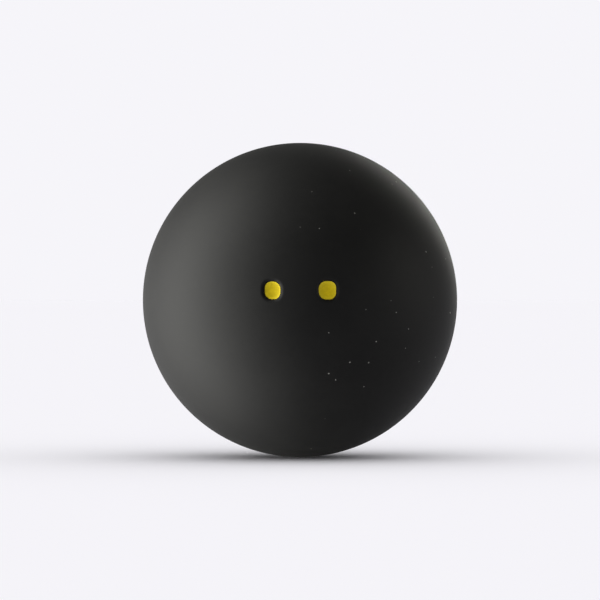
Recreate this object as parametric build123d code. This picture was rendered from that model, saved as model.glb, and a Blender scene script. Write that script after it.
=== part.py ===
from build123d import *
import math
import os
from typing import NamedTuple

# Squash ball: two moulded rubber half shells, bonded rim to rim round a sealed air space.
# Millimetres, with the origin at the ball's centre and +Z up.
# The painted dots face -Y, and the bonded seam lies in the XZ plane, halfway between the poles.

# Ball
BALL_DIAMETER = 40.0
WALL = 5.0

# Bonded seam
BOND_FILM = 0.2  # cured rubber cement between the two buffed rims
BEAD_WIDTH = 1.6  # cement squeezed out along the inner wall, measured across the seam
BEAD_HEIGHT = 0.4  # how far that bead stands in from the inner wall

# Dots, as wide and as high as their paint looks from outside
DOT_PITCH = 6.82  # straight across, from one dot's centre to the other's
DOT_RISE = 1.2  # the dots' centres above the pole of the front half
LEFT_DOT_WIDTH = 1.92
LEFT_DOT_HEIGHT = 2.13
LEFT_DOT_CORNERS = (0.78, 0.94, 0.80, 0.90)  # upper left, upper right, lower right, lower left
RIGHT_DOT_WIDTH = 2.13
RIGHT_DOT_HEIGHT = 2.23
RIGHT_DOT_CORNERS = (0.92, 0.80, 0.88, 0.95)
CORNER_LIMIT = 0.98  # largest corner radius, as a share of half the dot's shorter side

# Moulded recess that holds each dot's paint
LIP_RADIUS = 0.5  # rounded edge between the ball and the recess wall
RECESS_DRAFT = 18.0  # degrees that the recess wall leans outwards
PAINT_SINK = 0.42  # depth of the paint's edge below the ball's surface
PAINT_THICKNESS = 0.18  # paint at the dot's centre
PAINT_CLIMB = 0.11  # how much higher the paint stands at its edge than at its centre

# Worked out from the sizes above
RADIUS = BALL_DIAMETER / 2
BORE_RADIUS = RADIUS - WALL
RIM = BOND_FILM / 2  # distance of each rim from the seam plane
RECESS_DEPTH = PAINT_SINK + PAINT_CLIMB + PAINT_THICKNESS


class Dot(NamedTuple):
    """One painted dot: side is -1 left of the pole and 1 right of it, seen from outside."""

    side: int
    width: float
    height: float
    corners: tuple


LEFT_DOT = Dot(-1, LEFT_DOT_WIDTH, LEFT_DOT_HEIGHT, LEFT_DOT_CORNERS)
RIGHT_DOT = Dot(1, RIGHT_DOT_WIDTH, RIGHT_DOT_HEIGHT, RIGHT_DOT_CORNERS)


def on_sphere(radius, y):
    """Point at height y along the moulding axis on a sphere's profile."""
    return (math.sqrt(radius**2 - y**2), y)


def sphere_arc(radius, start, end):
    """Profile arc on a sphere about the origin, between two heights along the moulding axis."""
    angles = [math.asin(y / radius) for y in (start, end)]
    middle = radius * math.sin(sum(angles) / 2)
    return ThreePointArc(on_sphere(radius, start), on_sphere(radius, middle), on_sphere(radius, end))


def half_shell():
    """Moulded cup on the -Y side, with its rim buffed flat."""
    outside = sphere_arc(RADIUS, -RADIUS, -RIM)
    inside = sphere_arc(BORE_RADIUS, -RIM, -BORE_RADIUS)
    rim = Line(outside @ 1, inside @ 0)
    pole = Line(inside @ 1, outside @ 0)
    cup = revolve(make_face([outside, rim, inside, pole]), Axis.Y)
    return Rot(Y=90) * cup  # the revolve's start line runs down the ball, clear of the dots


def dot_plane(dot):
    """Plane that touches the ball at a dot's centre, with its normal along the ball's radius."""
    x = dot.side * DOT_PITCH / 2
    y = -math.sqrt(RADIUS**2 - x**2 - DOT_RISE**2)
    outward = Vector(x, y, DOT_RISE)
    return Plane(origin=outward, x_dir=Vector(0, 0, 1).cross(outward), z_dir=outward)


def dot_outline(dot):
    """Squarish outline whose four corners are rounded by different amounts."""
    width, height = dot.width, dot.height
    places = ((-width, height), (width, height), (width, -height), (-width, -height))
    largest = CORNER_LIMIT * min(width, height) / 2
    outline = Rectangle(width, height)
    for place, radius in zip(places, dot.corners):
        corner = outline.vertices().sort_by_distance(place)[0]
        outline = fillet(corner, min(radius, largest))
    return outline


def recess_form(dot):
    """Tapered plug from outside the ball to the recess floor, with the dot's size at its paint edge."""
    mouth_plane = dot_plane(dot).offset(LIP_RADIUS)
    widening = (LIP_RADIUS + PAINT_SINK) * math.tan(math.radians(RECESS_DRAFT))
    mouth = offset(dot_outline(dot), amount=widening)
    return extrude(mouth_plane * mouth, amount=-(LIP_RADIUS + RECESS_DEPTH), taper=RECESS_DRAFT)


def with_recess(shell, dot):
    """Half shell with a dot's recess pressed into it and the recess lip rounded."""
    recessed = shell - recess_form(dot)
    outside = recessed.faces().sort_by(SortBy.AREA)[-1]
    lip = outside.inner_wires().sort_by_distance(dot_plane(dot).origin)[0]
    return recessed.fillet(LIP_RADIUS, lip.edges())


def dot_paint(dot):
    """Paint pooled in its recess, with a dished face that climbs the recess wall."""
    reach = (dot.width + dot.height) / 4
    dish_radius = (reach**2 + PAINT_CLIMB**2) / (2 * PAINT_CLIMB)
    lowest = dot_plane(dot).offset(PAINT_THICKNESS - RECESS_DEPTH)
    dish = lowest * Pos(Z=dish_radius) * Sphere(dish_radius)
    return recess_form(dot) - dish


def seam_adhesive():
    """Cement film between the rims, flush outside, with a rounded bead along the inner wall."""
    half_bead = BEAD_WIDTH / 2
    outside = sphere_arc(RADIUS, -RIM, RIM)
    inside_upper = sphere_arc(BORE_RADIUS, RIM, half_bead)
    inside_lower = sphere_arc(BORE_RADIUS, -half_bead, -RIM)
    bead = ThreePointArc(inside_upper @ 1, (BORE_RADIUS - BEAD_HEIGHT, 0), inside_lower @ 0)
    film_upper = Line(outside @ 1, inside_upper @ 0)
    film_lower = Line(inside_lower @ 1, outside @ 0)
    profile = [outside, film_upper, inside_upper, bead, inside_lower, film_lower]
    return revolve(make_face(profile), Axis.Y)


pieces = {
    "front_half_shell": with_recess(with_recess(half_shell(), LEFT_DOT), RIGHT_DOT),
    "rear_half_shell": mirror(half_shell(), about=Plane.XZ),
    "seam_adhesive": seam_adhesive(),
    "left_dot": dot_paint(LEFT_DOT),
    "right_dot": dot_paint(RIGHT_DOT),
}

os.makedirs("parts", exist_ok=True)
for node, piece in pieces.items():
    export_step(piece, f"parts/{node}.step")
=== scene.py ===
import math
from typing import NamedTuple

import bmesh
import bpy
import numpy as np
from bpy.props import FloatProperty, FloatVectorProperty, PointerProperty
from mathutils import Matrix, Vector


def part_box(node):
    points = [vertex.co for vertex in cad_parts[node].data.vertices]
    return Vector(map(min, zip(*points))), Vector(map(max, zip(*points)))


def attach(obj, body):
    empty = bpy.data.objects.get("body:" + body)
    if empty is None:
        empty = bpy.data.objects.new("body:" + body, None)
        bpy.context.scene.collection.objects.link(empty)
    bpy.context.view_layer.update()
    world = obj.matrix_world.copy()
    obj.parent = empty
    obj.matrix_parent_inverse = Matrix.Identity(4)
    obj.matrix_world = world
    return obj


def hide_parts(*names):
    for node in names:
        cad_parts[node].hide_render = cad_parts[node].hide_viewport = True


bl_info = {
    "name": "Squash Ball",
    "version": (1, 0, 0),
    "blender": (4, 5, 0),
    "location": "View3D > Sidebar > Squash Ball",
    "description": "Hollow rubber ball of two bonded halves, with two recessed yellow dots",
    "category": "Mesh",
}

# The frame is in metres, with its origin at the ball's centre and +Z up.
# The dots face -Y, and the bonded seam lies in the XZ plane.
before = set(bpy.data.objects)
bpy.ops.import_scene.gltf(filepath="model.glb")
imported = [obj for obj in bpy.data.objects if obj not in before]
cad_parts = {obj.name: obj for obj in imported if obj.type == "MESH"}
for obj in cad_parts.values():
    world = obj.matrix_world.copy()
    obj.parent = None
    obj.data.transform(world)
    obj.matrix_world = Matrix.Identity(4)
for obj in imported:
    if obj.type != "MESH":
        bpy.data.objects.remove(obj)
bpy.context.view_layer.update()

MM = 0.001
BODY = "root"

# Sizes read from the packed solids
FRONT_LOW, FRONT_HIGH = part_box("front_half_shell")
RADIUS = -FRONT_LOW.y  # outside of the ball
RIM = -FRONT_HIGH.y  # distance of each rim from the seam plane
REAR_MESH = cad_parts["rear_half_shell"].data
BORE = min(vertex.co.length for vertex in REAR_MESH.vertices)  # radius of the air space

# Fineness of the meshes
RIM_POINTS = 256  # round the rims and the seam, a multiple of 8
SPLIT_POINTS = 96  # along the line where the meshes about the two dots meet
SPLIT_TRIALS = 40  # places tried for each of those points
OUT_STEPS = 48  # from a recess lip to the edge of its half of the cup
OUT_GROWTH = 1.5  # how those steps widen on their way out
LIP_STEPS = 10
LIP_HALVINGS = 40  # halvings that find the centre of a lip's rounding
WALL_STEPS = 4
EDGE_STEPS = 4  # round the small edge of each rim
FILM_LINES = (-1.0, -0.5, 0.0, 0.5, 1.0)  # over the cement's outer face, from rim to rim
BEAD_STEPS = 10
PAINT_POINTS = 128
PAINT_STEPS = 22
PAINT_CROWDING = 1.5  # how those steps narrow on their way out
WELD = 0.0005 * MM  # points nearer than this are one point

# Waves round a circle, each with its count, its height and its start in radians
FILM_WAVES = ((7, 1.0, 0.0), (19, 0.6, 1.0), (43, 0.4, 0.0))
MENISCUS_WAVES = ((3, 1.0, 2.0), (5, 0.7, -1.0))
MENISCUS_SWING = 0.25  # share of the meniscus that a wave of height 1 adds
RIPPLE_ACROSS, RIPPLE_UP = 2.6, 3.1  # waves in the paint, in radians per millimetre

NOISE_MEAN = 0.5

# Stage, in metres and degrees
BACKDROP_TOP = 5.5  # above level, where the pale backdrop starts to dim
CEILING_START = 14.0  # above level, where it is as dim as the ceiling
OVERHEAD_SPREAD = 140.0
FLOOR_REACH = 100.0
LAMP_DISTANCE = 0.7  # from the ball's centre
FURTHEST_SEEN = 1000.0
PICTURE_WIDTH = 600  # pixels
WHITE, WARM = (1.0, 0.998, 0.96), (1.0, 0.99, 0.9)


class SoftLight(NamedTuple):
    """A lamp's place, from the camera to the left and up from level, and its size and tint."""

    azimuth: float
    elevation: float
    width: float
    height: float
    tint: tuple


SOFT_LIGHTS = {
    "key": SoftLight(92, 0, 0.4, 2.6, WHITE),
    "fill": SoftLight(52, 0, 0.35, 1.2, WHITE),
    "side": SoftLight(-88, 16, 0.2, 0.3, WARM),
    "edge": SoftLight(-160, 15, 0.15, 0.3, WARM),
    "upper_edge": SoftLight(-150, 25, 0.15, 0.3, WARM),
}


def length(name, description, default):
    """Property that holds a length in metres."""
    return FloatProperty(
        name=name,
        description=description,
        default=default,
        min=0.0,
        precision=6,
        subtype="DISTANCE",
        unit="LENGTH",
    )


def lengths(name, description, default):
    """Property that holds several lengths in metres."""
    return FloatVectorProperty(
        name=name,
        description=description,
        default=default,
        size=len(default),
        min=0.0,
        precision=6,
        subtype="XYZ_LENGTH",
        unit="LENGTH",
    )


def colour(name, description, default):
    """Property that holds a linear colour."""
    return FloatVectorProperty(
        name=name,
        description=description,
        default=default,
        size=3,
        min=0.0,
        max=1.0,
        precision=4,
        subtype="COLOR",
    )


def share(name, description, default):
    """Property that holds a number from 0 to 1."""
    return FloatProperty(
        name=name, description=description, default=default, min=0.0, max=1.0, subtype="FACTOR"
    )


def turn(name, description, degrees):
    """Property that holds an angle, with its default in degrees."""
    return FloatProperty(
        name=name, description=description, default=math.radians(degrees), subtype="ANGLE"
    )


def power(name, description, default):
    """Property that holds a lamp's power."""
    return FloatProperty(
        name=name, description=description, default=default, min=0.0, subtype="POWER", unit="POWER"
    )


class BallSizes(bpy.types.PropertyGroup):
    """Sizes of the rims' edges and of the cement between them."""

    edge_round: length("Rim edge", "Rounding of each rim's outer edge", 0.03 * MM)
    film_sink: length("Film sink", "Depth of the cement below the ball's surface", 0.008 * MM)
    film_wave: length("Film wave", "Unevenness of that depth round the seam", 0.004 * MM)
    bead_width: length("Bead width", "Cement squeezed out along the inner wall", 1.6 * MM)
    bead_height: length("Bead height", "How far that bead stands in", 0.4 * MM)


class DotSizes(bpy.types.PropertyGroup):
    """Sizes of the two dots and of the recesses that hold their paint."""

    pitch: length("Pitch", "From one dot's centre to the other's", 6.82 * MM)
    rise: length("Rise", "The dots' centres above the pole", 1.2 * MM)
    left_size: lengths("Left dot", "Width and height of its paint", (1.92 * MM, 2.13 * MM))
    left_corners: lengths(
        "Left corners",
        "Corner radii: upper left, upper right, lower right, lower left",
        (0.78 * MM, 0.94 * MM, 0.8 * MM, 0.9 * MM),
    )
    right_size: lengths("Right dot", "Width and height of its paint", (2.13 * MM, 2.23 * MM))
    right_corners: lengths(
        "Right corners",
        "Corner radii: upper left, upper right, lower right, lower left",
        (0.92 * MM, 0.8 * MM, 0.88 * MM, 0.95 * MM),
    )
    lip_radius: length("Lip", "Rounded edge between the ball and the recess wall", 0.5 * MM)
    draft: turn("Draft", "How far the recess wall leans outwards", 18.0)
    sink: length("Sink", "Depth of the paint's edge below the ball's surface", 0.42 * MM)
    thickness: length("Thickness", "Paint at the dot's centre", 0.18 * MM)
    climb: length("Climb", "How much higher the dished paint stands at its edge", 0.11 * MM)
    meniscus: length("Meniscus", "Paint drawn up along the recess wall", 0.015 * MM)
    meniscus_reach: length("Meniscus reach", "How far in from the wall it starts", 0.08 * MM)
    ripple: length("Ripple", "Unevenness of the dried paint", 0.006 * MM)


class BallFinish(bpy.types.PropertyGroup):
    """Colours and finishes of the rubber, the cement and the paint."""

    rubber: colour("Rubber", "Body colour of the rubber", (0.0022, 0.0022, 0.0021))
    bloom: colour("Bloom", "Greyer patches where the rubber has bloomed", (0.0034, 0.0034, 0.0032))
    speck: colour("Specks", "Pale filler specks in the surface", (0.27, 0.27, 0.252))
    rubber_roughness: share("Rubber roughness", "Buffed matt finish", 0.65)
    rubber_sheen: share("Rubber specular", "Specular level of the buffed rubber", 0.12)
    cement: colour("Cement", "Cured rubber cement", (0.0046, 0.0044, 0.004))
    cement_roughness: share("Cement roughness", "Finish of the cement line", 0.64)
    paint: colour("Paint", "Yellow of the dots", (0.44, 0.334, 0.003))
    # Paler, brighter paint colour along each dot's edge: a painted rim highlight
    paint_rim_highlight: colour("Paint edge", "Thicker paint along the recess wall", (0.46, 0.36, 0.01))
    paint_roughness: share("Paint roughness", "Satin finish of the dried paint", 0.5)
    paint_sheen: share("Paint specular", "Specular level of the dried paint", 0.1)


class StudioSetup(bpy.types.PropertyGroup):
    """Pale surroundings, lamps and camera."""

    backdrop: colour("Backdrop", "Pale surroundings", (0.922, 0.913, 0.951))
    ceiling: colour("Ceiling", "Dimmer surroundings above", (0.2, 0.2, 0.2))
    floor: colour("Floor", "Pale floor", (0.94, 0.93, 0.97))
    overhead: FloatProperty(
        name="Overhead", description="Irradiance of the soft light above", default=2.36, min=0.0
    )
    key_power: power("Key", "Tall soft light at the left", 64.0)
    fill_power: power("Fill", "Weak soft light between the key and the camera", 4.7)
    side_power: power("Side", "Small soft light at the right", 1.75)
    edge_power: power("Edge", "Small soft light behind, at the right", 0.75)
    upper_edge_power: power("Upper edge", "Small soft light behind, at the upper right", 0.66)
    camera_distance: length("Camera distance", "From the ball's centre", 0.45)
    ball_pixels: FloatProperty(
        name="Ball in the picture",
        description="Radius of the ball's outline in a picture 600 pixels wide",
        default=157.16,
        subtype="PIXEL",
    )


class Wire:
    """One node output, with arithmetic that adds Math nodes to its tree."""

    def __init__(self, recipe, socket):
        self.recipe = recipe
        self.socket = socket

    def output(self, name):
        """Another output of the same node."""
        return Wire(self.recipe, self.socket.node.outputs[name])

    def math(self, operation, *values):
        """Math node over these values."""
        inputs = dict(enumerate(values))
        return self.recipe.add("ShaderNodeMath", {"operation": operation}, inputs)

    def __add__(self, other):
        return self.math("ADD", self, other)

    def __radd__(self, other):
        return self.math("ADD", other, self)

    def __sub__(self, other):
        return self.math("SUBTRACT", self, other)

    def __rsub__(self, other):
        return self.math("SUBTRACT", other, self)

    def __mul__(self, other):
        return self.math("MULTIPLY", self, other)

    def __rmul__(self, other):
        return self.math("MULTIPLY", other, self)

    def __abs__(self):
        return self.math("ABSOLUTE", self)


class Recipe:
    """A node tree that is being filled."""

    def __init__(self, tree):
        self.tree = tree
        tree.nodes.clear()

    def add(self, kind, settings=None, inputs=None, output=None):
        """Adds a node with its settings, then its socket values or links, and returns one output."""
        node = self.tree.nodes.new(kind)
        for name, value in (settings or {}).items():
            setattr(node, name, value)
        open_inputs = [socket for socket in node.inputs if socket.enabled]
        for key, value in (inputs or {}).items():
            named = [socket for socket in open_inputs if socket.name == key]
            self.feed(named[0] if named else open_inputs[key], value)
        open_outputs = [socket for socket in node.outputs if socket.enabled]
        if output:
            return Wire(self, node.outputs[output])
        return Wire(self, open_outputs[0]) if open_outputs else None

    def feed(self, socket, value):
        """Links a wire to a socket, or sets the socket's own value."""
        if isinstance(value, Wire):
            self.tree.links.new(value.socket, socket)
        elif socket.type == "RGBA":
            socket.default_value = (*value, 1.0)
        else:
            socket.default_value = value

    def millimetres(self):
        """Place on the ball in millimetres."""
        place = self.add("ShaderNodeTexCoord", output="Object")
        return self.vector("SCALE", {"Vector": place, "Scale": 1 / MM})

    def vector(self, operation, inputs, output=None):
        """Vector Math node."""
        return self.add("ShaderNodeVectorMath", {"operation": operation}, inputs, output)

    def noise(self, place, size, detail=2.0):
        """Noise from 0 to 1 about its mean, with features of that size in millimetres."""
        inputs = {"Vector": place, "Scale": 1 / size, "Detail": detail}
        return self.add("ShaderNodeTexNoise", {"noise_dimensions": "3D"}, inputs)

    def step(self, value, start, end):
        """Smooth step from 0 at start to 1 at end."""
        inputs = {"Value": value, "From Min": start, "From Max": end}
        return self.add("ShaderNodeMapRange", {"interpolation_type": "SMOOTHSTEP"}, inputs)

    def mix(self, factor, first, second):
        """First colour at factor 0 and the second at 1."""
        inputs = {"Factor": factor, "A": first, "B": second}
        return self.add("ShaderNodeMix", {"data_type": "RGBA"}, inputs)

    def bump(self, height, depth):
        """Normal from a height of 0 to 1 that stands for a depth in metres."""
        return self.add("ShaderNodeBump", None, {"Height": height, "Distance": depth}, "Normal")

    def surface(self, inputs):
        """Principled surface as the material's output."""
        shader = self.add("ShaderNodeBsdfPrincipled", None, inputs)
        self.add("ShaderNodeOutputMaterial", None, {"Surface": shader})


def new_material(name):
    """Material and the recipe for its nodes."""
    material = bpy.data.materials.new(name)
    material.use_nodes = True
    return material, Recipe(material.node_tree)


def buffed_rubber(look):
    """Matt black rubber: bloomed patches, a fine buffed grain and pale specks toward the right."""
    # Lengths in millimetres
    bloom_size, mottle_size, grain_size = 6.0, 0.8, 0.09
    band_edge, band_full = 1.7, 0.5  # buffed band along the seam, from its middle
    speck_pitch, smallest_speck, largest_speck = 1.75, 0.05, 0.12
    speck_raggedness, speck_shift = 0.35, (40.0, 55.0, 9.0)
    speckless, speckled, speck_wander = -1.0, 3.0, 16.0  # to the right of the ball's middle

    # Shares and strengths
    bloom_detail = 3.0
    buffing_stretch = (0.3, 12.0, 0.3)  # the buffing marks run along the seam
    faintest_speck = 0.25
    bloom_part, mottle_part, band_part = 0.7, 0.3, 0.06  # of the greyer patches
    patch_start, patch_full = 0.36, 0.66
    bloom_swing, grain_swing, buffing_swing = 0.05, 0.06, 0.16  # of the roughness
    mottle_height, buffing_height = 0.8, 1.2  # times the grain's height
    grain_depth = 0.0025 * MM

    material, recipe = new_material("Buffed rubber")
    place = recipe.millimetres()
    bloom = recipe.noise(place, bloom_size, bloom_detail)
    mottle = recipe.noise(place, mottle_size)
    grain = recipe.noise(place, grain_size)

    from_seam = recipe.add("ShaderNodeSeparateXYZ", None, {"Vector": place}, "Y")
    band = recipe.step(abs(from_seam), band_edge, band_full)
    along_seam = recipe.vector("MULTIPLY", {0: place, 1: buffing_stretch})
    buffing = band * (recipe.noise(along_seam, 1.0) - NOISE_MEAN)

    ragged = recipe.vector(
        "MULTIPLY_ADD", {0: mottle.output("Color"), 1: (speck_raggedness,) * 3, 2: speck_shift}
    )
    ragged_place = recipe.vector("ADD", {0: place, 1: ragged})
    cells = recipe.add(
        "ShaderNodeTexVoronoi", None, {"Vector": ragged_place, "Scale": 1 / speck_pitch}, "Distance"
    )
    chance = recipe.add("ShaderNodeSeparateColor", None, {"Color": cells.output("Color")}, "Red")
    speck_radius = smallest_speck + chance * (largest_speck - smallest_speck)
    speck_shape = recipe.step(speck_radius - cells * speck_pitch, 0.0, smallest_speck / 2)
    paleness = faintest_speck + (1 - faintest_speck) * chance.output("Green")
    to_right = from_seam.output("X") + (bloom - NOISE_MEAN) * speck_wander
    speck = speck_shape * paleness * recipe.step(to_right, speckless, speckled)

    greyness = bloom * bloom_part + mottle * mottle_part + band * band_part
    patches = recipe.step(greyness, patch_start, patch_full)
    body = recipe.mix(patches, tuple(look.rubber), tuple(look.bloom))
    recipe.surface(
        {
            "Base Color": recipe.mix(speck, body, tuple(look.speck)),
            "Roughness": look.rubber_roughness
            + (bloom - NOISE_MEAN) * bloom_swing
            + (grain - NOISE_MEAN) * grain_swing
            + buffing * buffing_swing,
            "Specular IOR Level": look.rubber_sheen,
            "Normal": recipe.bump(
                grain + mottle * mottle_height + buffing * buffing_height, grain_depth
            ),
        }
    )
    return material


def cured_cement(look):
    """Thin line of smeared cement, a little smoother than the rubber on each side."""
    smear_size, grain_size = 2.2, 0.12  # millimetres
    smear_detail = 3.0
    smear_start, smear_full = 0.35, 0.7
    smear_paleness = 1.5  # times the cement's own colour
    smear_swing = 0.2  # of the roughness
    grain_depth = 0.003 * MM

    material, recipe = new_material("Cured rubber cement")
    place = recipe.millimetres()
    smear = recipe.noise(place, smear_size, smear_detail)
    grain = recipe.noise(place, grain_size)
    patches = recipe.step(smear, smear_start, smear_full)
    pale = tuple(smear_paleness * part for part in look.cement)
    recipe.surface(
        {
            "Base Color": recipe.mix(patches, tuple(look.cement), pale),
            "Roughness": look.cement_roughness + (smear - NOISE_MEAN) * smear_swing,
            "Specular IOR Level": look.rubber_sheen,
            "Normal": recipe.bump(grain, grain_depth),
        }
    )
    return material


def dried_paint(look, dots):
    """Flexible yellow paint: a little mottled, with a painted highlight as a paler, brighter ring
    along the recess wall.
    """
    # Lengths in millimetres
    cloud_size, grain_size = 0.45, 0.05
    edge_start, edge_full, edge_wander = 0.8, 1.15, 0.25  # painted rim highlight, from the dot's centre

    # Shares and strengths
    cloud_detail = 3.0
    cloud_start, cloud_full = 0.3, 0.7
    thin_shade = 0.86
    cloud_swing, grain_swing = 0.2, 0.1  # of the roughness
    cloud_height = 2.0  # times the grain's height
    grain_depth = 0.003 * MM

    material, recipe = new_material("Dot paint")
    place = recipe.millimetres()
    parts = recipe.add("ShaderNodeSeparateXYZ", None, {"Vector": place}, "X")
    folded = recipe.add(
        "ShaderNodeCombineXYZ", None, {"X": abs(parts), "Y": parts.output("Y"), "Z": parts.output("Z")}
    )
    centre = dot_centre(dots, 1) / MM
    from_centre = recipe.vector("DISTANCE", {0: folded, 1: centre}, "Value")
    clouds = recipe.noise(place, cloud_size, cloud_detail)
    grain = recipe.noise(place, grain_size)

    ragged_distance = from_centre + (clouds - NOISE_MEAN) * edge_wander
    # Painted rim highlight: paler, brighter paint towards the recess wall
    rim_highlight_mask = recipe.step(ragged_distance, edge_start, edge_full)
    paint, edge = tuple(look.paint), tuple(look.paint_rim_highlight)
    thin = tuple(thin_shade * part for part in paint)
    body = recipe.mix(recipe.step(clouds, cloud_start, cloud_full), thin, paint)
    recipe.surface(
        {
            "Base Color": recipe.mix(rim_highlight_mask, body, edge),
            "Roughness": look.paint_roughness
            + (clouds - NOISE_MEAN) * cloud_swing
            + (grain - NOISE_MEAN) * grain_swing,
            "Specular IOR Level": look.paint_sheen,
            "Normal": recipe.bump(clouds * cloud_height + grain, grain_depth),
        }
    )
    return material


def pale_floor(studio):
    """Plain matt floor."""
    material, recipe = new_material("Pale floor")
    recipe.surface(
        {"Base Color": tuple(studio.floor), "Roughness": 1.0, "Specular IOR Level": 0.0}
    )
    return material


def material_named(name, make, *settings):
    """A material that several pieces share, made the first time it is asked for."""
    return bpy.data.materials.get(name) or make(*settings)


def add_rings(mesh, rings):
    """Quads between closed rings of points, one ring after another."""
    rows = [[mesh.verts.new(point) for point in ring] for ring in rings]
    for inner, outer in zip(rows, rows[1:]):
        for k in range(len(inner)):
            mesh.faces.new((inner[k - 1], inner[k], outer[k], outer[k - 1]))
    return rows


def add_fan(mesh, row, centre):
    """Triangles from a row of vertices to a point in its middle."""
    hub = mesh.verts.new(centre)
    for k in range(len(row)):
        mesh.faces.new((row[k - 1], row[k], hub))


def waves(angle, parts, side=1):
    """Sum of waves round a circle, with their starts turned over on side -1."""
    return sum(height * math.sin(count * angle + side * start) for count, height, start in parts)


def rim_ring(radius, y):
    """Points round the moulding axis, evenly spaced."""
    angles = [2 * math.pi * k / RIM_POINTS for k in range(RIM_POINTS)]
    return [Vector((radius * math.cos(a), y, radius * math.sin(a))) for a in angles]


def disc_point(across, up):
    """Distance and angle on a disc for a place on a square, both from -1 to 1."""
    if abs(across) < abs(up):
        angle = math.pi / 2 - math.pi / 4 * across / up
    else:
        angle = math.pi / 4 * up / across if across else 0.0
    upper_right = across + up > 0 or (across == -up and up < 0)
    return max(abs(across), abs(up)), angle if upper_right else angle + math.pi


def add_cup_face(mesh, radius, edge_y, side):
    """Cup of quads on a sphere, without a pole, from the seam edge to the Y axis."""
    steps = RIM_POINTS // 4
    widest = math.acos(edge_y / radius)
    rows = []
    for i in range(steps + 1):
        row = []
        for j in range(steps + 1):
            distance, angle = disc_point(2 * i / steps - 1, 2 * j / steps - 1)
            polar = distance * widest
            ring = radius * math.sin(polar)
            y = side * radius * math.cos(polar)
            row.append(mesh.verts.new((ring * math.cos(angle), y, ring * math.sin(angle))))
        rows.append(row)
    for low, high in zip(rows, rows[1:]):
        for j in range(steps):
            mesh.faces.new((low[j], high[j], high[j + 1], low[j + 1]))


def rim_profile(sizes):
    """Radius and distance from the seam plane, round the rim's small outer edge and across the rim."""
    rounding = sizes.edge_round
    middle = rounding + RIM
    centre = math.sqrt((RADIUS - rounding) ** 2 - middle**2)
    first = math.atan2(middle, centre)
    profile = []
    for k in range(EDGE_STEPS + 1):
        angle = first + (-math.pi / 2 - first) * k / EDGE_STEPS
        profile.append((centre + rounding * math.cos(angle), middle + rounding * math.sin(angle)))
    profile.append((math.sqrt(BORE**2 - RIM**2), RIM))
    return profile


def add_rim_and_bore(mesh, sizes, side):
    """The flat rim with its rounded outer edge, and the inner wall behind it."""
    add_rings(mesh, [rim_ring(radius, side * y) for radius, y in rim_profile(sizes)])
    add_cup_face(mesh, BORE, RIM, side)


def dot_centre(dots, side):
    """Where a dot's axis meets the ball's surface."""
    x = side * dots.pitch / 2
    return Vector((x, -math.sqrt(RADIUS**2 - x**2 - dots.rise**2), dots.rise))


class Dot:
    """One dot and its recess, described about the axis through the dot's centre."""

    def __init__(self, dots, side):
        self.sizes = dots
        self.side = side
        self.width, self.height = dots.left_size if side < 0 else dots.right_size
        self.corners = tuple(dots.left_corners if side < 0 else dots.right_corners)
        self.out = dot_centre(dots, side).normalized()
        self.right = Vector((0, 0, 1)).cross(self.out).normalized()
        self.up = self.out.cross(self.right)
        self.slope = math.tan(dots.draft)
        self.floor = dots.sink + dots.climb + dots.thickness

    def bearing(self, point):
        """Direction of a point round the dot's axis."""
        return math.atan2(point.dot(self.up), point.dot(self.right))

    def toward(self, bearing):
        """Direction straight away from the dot's axis."""
        return self.right * math.cos(bearing) + self.up * math.sin(bearing)

    def place(self, bearing, distance, depth):
        """Point at a distance from the dot's axis and a depth below the ball's surface there."""
        return self.out * (RADIUS - depth) + self.toward(bearing) * distance

    def outline(self, bearing, widening=0.0):
        """Distance from the axis to the rounded outline, widened evenly all round."""
        across, along = math.cos(bearing), math.sin(bearing)
        upper_left, upper_right, lower_right, lower_left = self.corners
        if along >= 0:
            corner = upper_right if across >= 0 else upper_left
        else:
            corner = lower_right if across >= 0 else lower_left
        across, along = abs(across), abs(along)
        straight_x, straight_y = self.width / 2 - corner, self.height / 2 - corner
        side = (self.width / 2 + widening) / max(across, WELD)
        if side * along <= straight_y:
            return side
        end = (self.height / 2 + widening) / max(along, WELD)
        if end * across <= straight_x:
            return end
        middle = across * straight_x + along * straight_y
        offset = across * straight_y - along * straight_x
        return middle + math.sqrt((corner + widening) ** 2 - offset**2)

    def wall(self, bearing, depth):
        """Distance from the axis to the recess wall at a depth."""
        return self.outline(bearing, (self.sizes.sink - depth) * self.slope)

    def lip(self, bearing):
        """Distance and depth along the rounded lip, from the recess wall to the ball's surface."""
        radius, draft = self.sizes.lip_radius, self.sizes.draft

        def widening(depth):
            return (self.sizes.sink - depth) * self.slope + radius / math.cos(draft)

        low, high = 0.0, 2 * radius
        for _ in range(LIP_HALVINGS):
            depth = (low + high) / 2
            distance = self.outline(bearing, widening(depth))
            if math.hypot(distance, RADIUS - depth) > RADIUS - radius:
                low = depth
            else:
                high = depth
        first = math.pi - draft
        last = math.pi / 2 - math.atan2(distance, RADIUS - depth)
        points = []
        for k in range(LIP_STEPS + 1):
            angle = first + (last - first) * k / LIP_STEPS
            reach = self.outline(bearing, widening(depth) + radius * math.cos(angle))
            points.append((reach, depth - radius * math.sin(angle)))
        return points

    def ray(self, target):
        """Points from the recess floor up its wall, over the lip and along the ball to a target."""
        bearing = self.bearing(target)
        lip = self.lip(bearing)
        start = lip[0][1]
        points = [self.place(bearing, self.wall(bearing, self.floor) / 2, self.floor)]
        for k in range(WALL_STEPS):
            depth = self.floor + (start - self.floor) * k / WALL_STEPS
            points.append(self.place(bearing, self.wall(bearing, depth), depth))
        points += [self.place(bearing, *step) for step in lip]
        nearest = self.out.angle(points[-1])
        furthest = self.out.angle(target)
        for k in range(1, OUT_STEPS + 1):
            angle = nearest + (furthest - nearest) * (k / OUT_STEPS) ** OUT_GROWTH
            along = self.out * math.cos(angle) + self.toward(bearing) * math.sin(angle)
            points.append(along * RADIUS)
        return points


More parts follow.
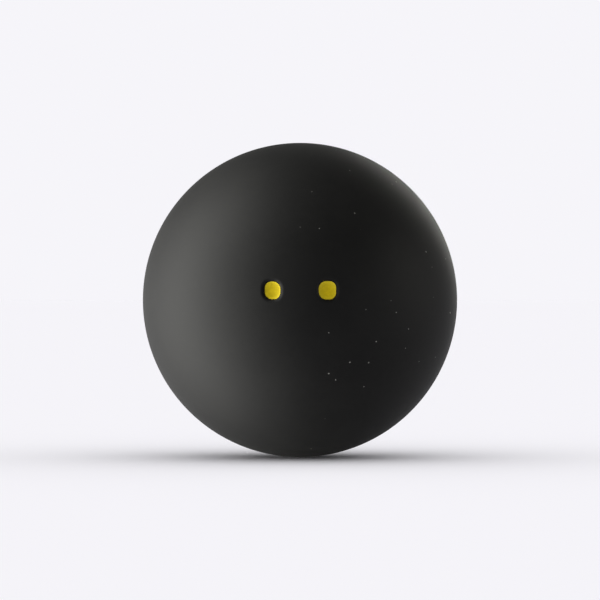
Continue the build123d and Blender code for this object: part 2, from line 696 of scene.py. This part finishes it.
def split_line(dot, edge_y):
    """Points of the ball's middle line X = 0, spaced evenly both by length and as seen from a dot."""
    widest = math.acos(edge_y / RADIUS)
    angles = np.linspace(-widest, widest, SPLIT_TRIALS * SPLIT_POINTS)
    points = [Vector((0, -math.cos(a), math.sin(a))) * RADIUS for a in angles]
    bearings = np.unwrap([dot.bearing(point) for point in points])
    by_bearing = (bearings - bearings[0]) / (bearings[-1] - bearings[0])
    by_length = (angles + widest) / (2 * widest)
    wanted = np.linspace(0, 1, SPLIT_POINTS + 2)[1:-1]
    chosen = np.interp(wanted, (by_bearing + by_length) / 2, angles)
    return [Vector((0, -math.cos(a), math.sin(a))) * RADIUS for a in chosen]


def add_front_face(mesh, sizes, dots):
    """Outside of the front cup, meshed in rings about each dot and joined along the middle line."""
    edge_radius, edge_y = rim_profile(sizes)[0]
    middle = split_line(Dot(dots, 1), edge_y)
    for side in (-1, 1):
        dot = Dot(dots, side)
        edge = [point for point in rim_ring(edge_radius, -edge_y) if side * point.x > -WELD]
        rays = [dot.ray(target) for target in sorted(edge + middle, key=dot.bearing)]
        rows = add_rings(mesh, zip(*rays))
        add_fan(mesh, rows[0], dot.place(0.0, 0.0, dot.floor))


def paint_rays(dot):
    """Points over the dished face, up its meniscus, then down the recess wall and across the floor."""
    sizes = dot.sizes
    reach = (dot.width + dot.height) / 4
    dish = (reach**2 + sizes.climb**2) / (2 * sizes.climb)

    def dished(distance):
        return sizes.sink + sizes.climb - dish + math.sqrt(dish**2 - distance**2)

    rays = []
    for k in range(PAINT_POINTS):
        bearing = 2 * math.pi * k / PAINT_POINTS
        wave = waves(bearing, MENISCUS_WAVES, dot.side)
        meniscus = sizes.meniscus * (1 + MENISCUS_SWING * wave)
        level = dished(dot.outline(bearing)) - meniscus
        edge = dot.wall(bearing, level)
        points = []
        for step in range(1, PAINT_STEPS + 1):
            part = 1 - (1 - step / PAINT_STEPS) ** PAINT_CROWDING
            distance = edge * part
            drawn_up = meniscus * math.exp((distance - edge) / sizes.meniscus_reach)
            place = dot.toward(bearing) * distance / MM
            across = math.sin(RIPPLE_ACROSS * place.x + dot.side)
            upward = math.sin(RIPPLE_UP * place.z - dot.side)
            ripple = sizes.ripple * across * upward * (1 - part)
            depth = dished(distance) - drawn_up + ripple
            points.append(dot.place(bearing, distance, depth))
        points.append(dot.place(bearing, dot.wall(bearing, dot.floor), dot.floor))
        rays.append(points)
    return rays


def film_rings(sizes):
    """Closed rings round the cement: its outer line, the film between the rims and the inner bead."""
    half_bead = sizes.bead_width / 2
    outer = []
    for across in FILM_LINES:
        ring = []
        for point in rim_ring(1.0, 0.0):
            wave = waves(math.atan2(point.z, point.x), FILM_WAVES)
            sink = sizes.film_sink + sizes.film_wave * (wave + across**2)
            ring.append(point * (RADIUS - sink) + Vector((0, across * RIM, 0)))
        outer.append(ring)
    inner = []
    bead_edge = math.sqrt(BORE**2 - half_bead**2)
    bead_top = BORE - sizes.bead_height
    for k in range(BEAD_STEPS + 1):
        part = 2 * k / BEAD_STEPS - 1
        radius = bead_top + (bead_edge - bead_top) * part**2
        inner.append(rim_ring(radius, -part * half_bead))
    rim_radius = math.sqrt(BORE**2 - RIM**2)
    return [*outer, rim_ring(rim_radius, RIM), *inner, rim_ring(rim_radius, -RIM), outer[0]]


def make_piece(mesh, name, material):
    """Welds the mesh, shows it in place of the CAD node of that name and gives it its finish."""
    bmesh.ops.remove_doubles(mesh, verts=mesh.verts[:], dist=WELD)
    bmesh.ops.recalc_face_normals(mesh, faces=mesh.faces[:])
    data = bpy.data.meshes.new(name)
    mesh.to_mesh(data)
    mesh.free()
    data.shade_smooth()
    data.materials.append(material)
    piece = bpy.data.objects.new(f"{name}_skin", data)
    bpy.context.scene.collection.objects.link(piece)
    collection("Ball", piece)
    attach(piece, BODY)
    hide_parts(name)


def collection(name, *members):
    """Collection for light linking, with members added to it."""
    group = bpy.data.collections.get(name) or bpy.data.collections.new(name)
    for member in members:
        group.objects.link(member)
    return group


class BALL_OT_front_half(bpy.types.Operator):
    """Front half shell, with the two recesses that hold the dots"""

    bl_idname = "squash_ball.front_half"
    bl_label = "Front half shell"

    def execute(self, context):
        scene = context.scene
        mesh = bmesh.new()
        add_front_face(mesh, scene.ball_sizes, scene.dot_sizes)
        add_rim_and_bore(mesh, scene.ball_sizes, -1)
        rubber = material_named("Buffed rubber", buffed_rubber, scene.ball_finish)
        make_piece(mesh, "front_half_shell", rubber)
        return {"FINISHED"}


class BALL_OT_rear_half(bpy.types.Operator):
    """Plain rear half shell"""

    bl_idname = "squash_ball.rear_half"
    bl_label = "Rear half shell"

    def execute(self, context):
        scene = context.scene
        mesh = bmesh.new()
        add_cup_face(mesh, RADIUS, rim_profile(scene.ball_sizes)[0][1], 1)
        add_rim_and_bore(mesh, scene.ball_sizes, 1)
        rubber = material_named("Buffed rubber", buffed_rubber, scene.ball_finish)
        make_piece(mesh, "rear_half_shell", rubber)
        return {"FINISHED"}


class BALL_OT_seam(bpy.types.Operator):
    """Cured cement between the two rims"""

    bl_idname = "squash_ball.seam"
    bl_label = "Seam adhesive"

    def execute(self, context):
        scene = context.scene
        mesh = bmesh.new()
        add_rings(mesh, film_rings(scene.ball_sizes))
        make_piece(mesh, "seam_adhesive", cured_cement(scene.ball_finish))
        return {"FINISHED"}


class BALL_OT_dots(bpy.types.Operator):
    """Yellow paint in the two recesses"""

    bl_idname = "squash_ball.dots"
    bl_label = "Dots"

    def execute(self, context):
        scene = context.scene
        paint = dried_paint(scene.ball_finish, scene.dot_sizes)
        for name, side in (("left_dot", -1), ("right_dot", 1)):
            dot = Dot(scene.dot_sizes, side)
            mesh = bmesh.new()
            rows = add_rings(mesh, zip(*paint_rays(dot)))
            add_fan(mesh, rows[0], dot.place(0.0, 0.0, dot.floor - scene.dot_sizes.thickness))
            add_fan(mesh, rows[-1], dot.place(0.0, 0.0, dot.floor))
            make_piece(mesh, name, paint)
        return {"FINISHED"}


class BALL_OT_stage(bpy.types.Operator):
    """Pale floor, soft lamps and camera"""

    bl_idname = "squash_ball.stage"
    bl_label = "Stage"

    def execute(self, context):
        scene = context.scene
        studio = scene.studio_setup
        scene.view_settings.view_transform = "Standard"
        self.surroundings(scene, studio)
        self.floor(scene, studio)
        self.lamps(scene, studio)
        self.camera(scene, studio)
        return {"FINISHED"}

    def surroundings(self, scene, studio):
        """Pale backdrop all round, under a dimmer ceiling."""
        dimming = [math.sin(math.radians(angle)) for angle in (BACKDROP_TOP, CEILING_START)]
        scene.world = bpy.data.worlds.new("Pale studio")
        scene.world.use_nodes = True
        recipe = Recipe(scene.world.node_tree)
        direction = recipe.add("ShaderNodeTexCoord", output="Generated")
        height = recipe.add("ShaderNodeSeparateXYZ", None, {"Vector": direction}, "Z")
        above = recipe.step(height, *dimming)
        pale = recipe.mix(above, tuple(studio.backdrop), tuple(studio.ceiling))
        light = recipe.add("ShaderNodeBackground", None, {"Color": pale})
        recipe.add("ShaderNodeOutputWorld", None, {"Surface": light})

    def floor(self, scene, studio):
        """Wide flat floor under the ball."""
        mesh = bmesh.new()
        corners = [
            mesh.verts.new((x * FLOOR_REACH, y * FLOOR_REACH, -RADIUS))
            for x, y in ((-1, -1), (1, -1), (1, 1), (-1, 1))
        ]
        mesh.faces.new(corners)
        data = bpy.data.meshes.new("floor")
        mesh.to_mesh(data)
        mesh.free()
        data.materials.append(pale_floor(studio))
        floor = bpy.data.objects.new("floor", data)
        scene.collection.objects.link(floor)

    def lamp(self, scene, name, kind, azimuth, elevation, **settings):
        """Lamp aimed at the ball, in degrees from the camera to the left and up from level."""
        around, up = math.radians(azimuth), math.radians(elevation)
        data = bpy.data.lights.new(name, kind)
        for key, value in settings.items():
            setattr(data, key, value)
        lamp = bpy.data.objects.new(name, data)
        level = Vector((-math.sin(around), -math.cos(around), 0.0)) * math.cos(up)
        lamp.location = (level + Vector((0, 0, math.sin(up)))) * LAMP_DISTANCE
        lamp.rotation_mode = "QUATERNION"
        lamp.rotation_quaternion = lamp.location.to_track_quat("Z", "Y")
        lamp.visible_camera = False
        scene.collection.objects.link(lamp)
        return lamp

    def lamps(self, scene, studio):
        """Soft light above for the floor, and five lamps that light the ball alone."""
        spread = math.radians(OVERHEAD_SPREAD)
        above = self.lamp(scene, "overhead", "SUN", 0, 90, energy=studio.overhead, angle=spread)
        above.light_linking.receiver_collection = collection("Stage", scene.objects["floor"])
        for name, light in SOFT_LIGHTS.items():
            lamp = self.lamp(
                scene,
                name,
                "AREA",
                light.azimuth,
                light.elevation,
                energy=getattr(studio, f"{name}_power"),
                color=light.tint,
                shape="RECTANGLE",
                size=light.width,
                size_y=light.height,
            )
            lamp.light_linking.receiver_collection = collection("Ball")
            lamp.light_linking.blocker_collection = collection("Ball")
            # With it on, the floor would hide part of the lamps that reach below it
            lamp.data.cycles.use_multiple_importance_sampling = False

    def camera(self, scene, studio):
        """Level camera in front of the dots, with the ball as large as in the picture."""
        data = bpy.data.cameras.new("camera")
        outline = math.asin(RADIUS / studio.camera_distance)
        data.lens = data.sensor_width * studio.ball_pixels / math.tan(outline) / PICTURE_WIDTH
        data.clip_end = FURTHEST_SEEN
        camera = bpy.data.objects.new("camera", data)
        camera.location = (0.0, -studio.camera_distance, 0.0)
        camera.rotation_euler = (math.pi / 2, 0.0, 0.0)
        scene.collection.objects.link(camera)
        scene.camera = camera


class BALL_PT_panel(bpy.types.Panel):
    """Pieces of the ball and the sizes and finishes that shape them"""

    bl_idname = "BALL_PT_panel"
    bl_label = "Squash Ball"
    bl_space_type = "VIEW_3D"
    bl_region_type = "UI"
    bl_category = "Squash Ball"

    def draw(self, context):
        layout = self.layout
        for operator in OPERATORS:
            layout.operator(operator.bl_idname)
        for holder, group in GROUPS.items():
            box = layout.box()
            box.label(text=group.__doc__)
            for name in group.__annotations__:
                box.prop(getattr(context.scene, holder), name)


GROUPS = {
    "ball_sizes": BallSizes,
    "dot_sizes": DotSizes,
    "ball_finish": BallFinish,
    "studio_setup": StudioSetup,
}
OPERATORS = (BALL_OT_front_half, BALL_OT_rear_half, BALL_OT_seam, BALL_OT_dots, BALL_OT_stage)


def register():
    for group in (*GROUPS.values(), *OPERATORS, BALL_PT_panel):
        bpy.utils.register_class(group)
    for holder, group in GROUPS.items():
        setattr(bpy.types.Scene, holder, PointerProperty(type=group))


def unregister():
    for holder in GROUPS:
        delattr(bpy.types.Scene, holder)
    for group in (BALL_PT_panel, *OPERATORS, *GROUPS.values()):
        bpy.utils.unregister_class(group)


def main():
    """Builds the ball and its stage."""
    register()
    bpy.ops.squash_ball.front_half()
    bpy.ops.squash_ball.rear_half()
    bpy.ops.squash_ball.seam()
    bpy.ops.squash_ball.dots()
    bpy.ops.squash_ball.stage()


if __name__ == "__main__":
    main()
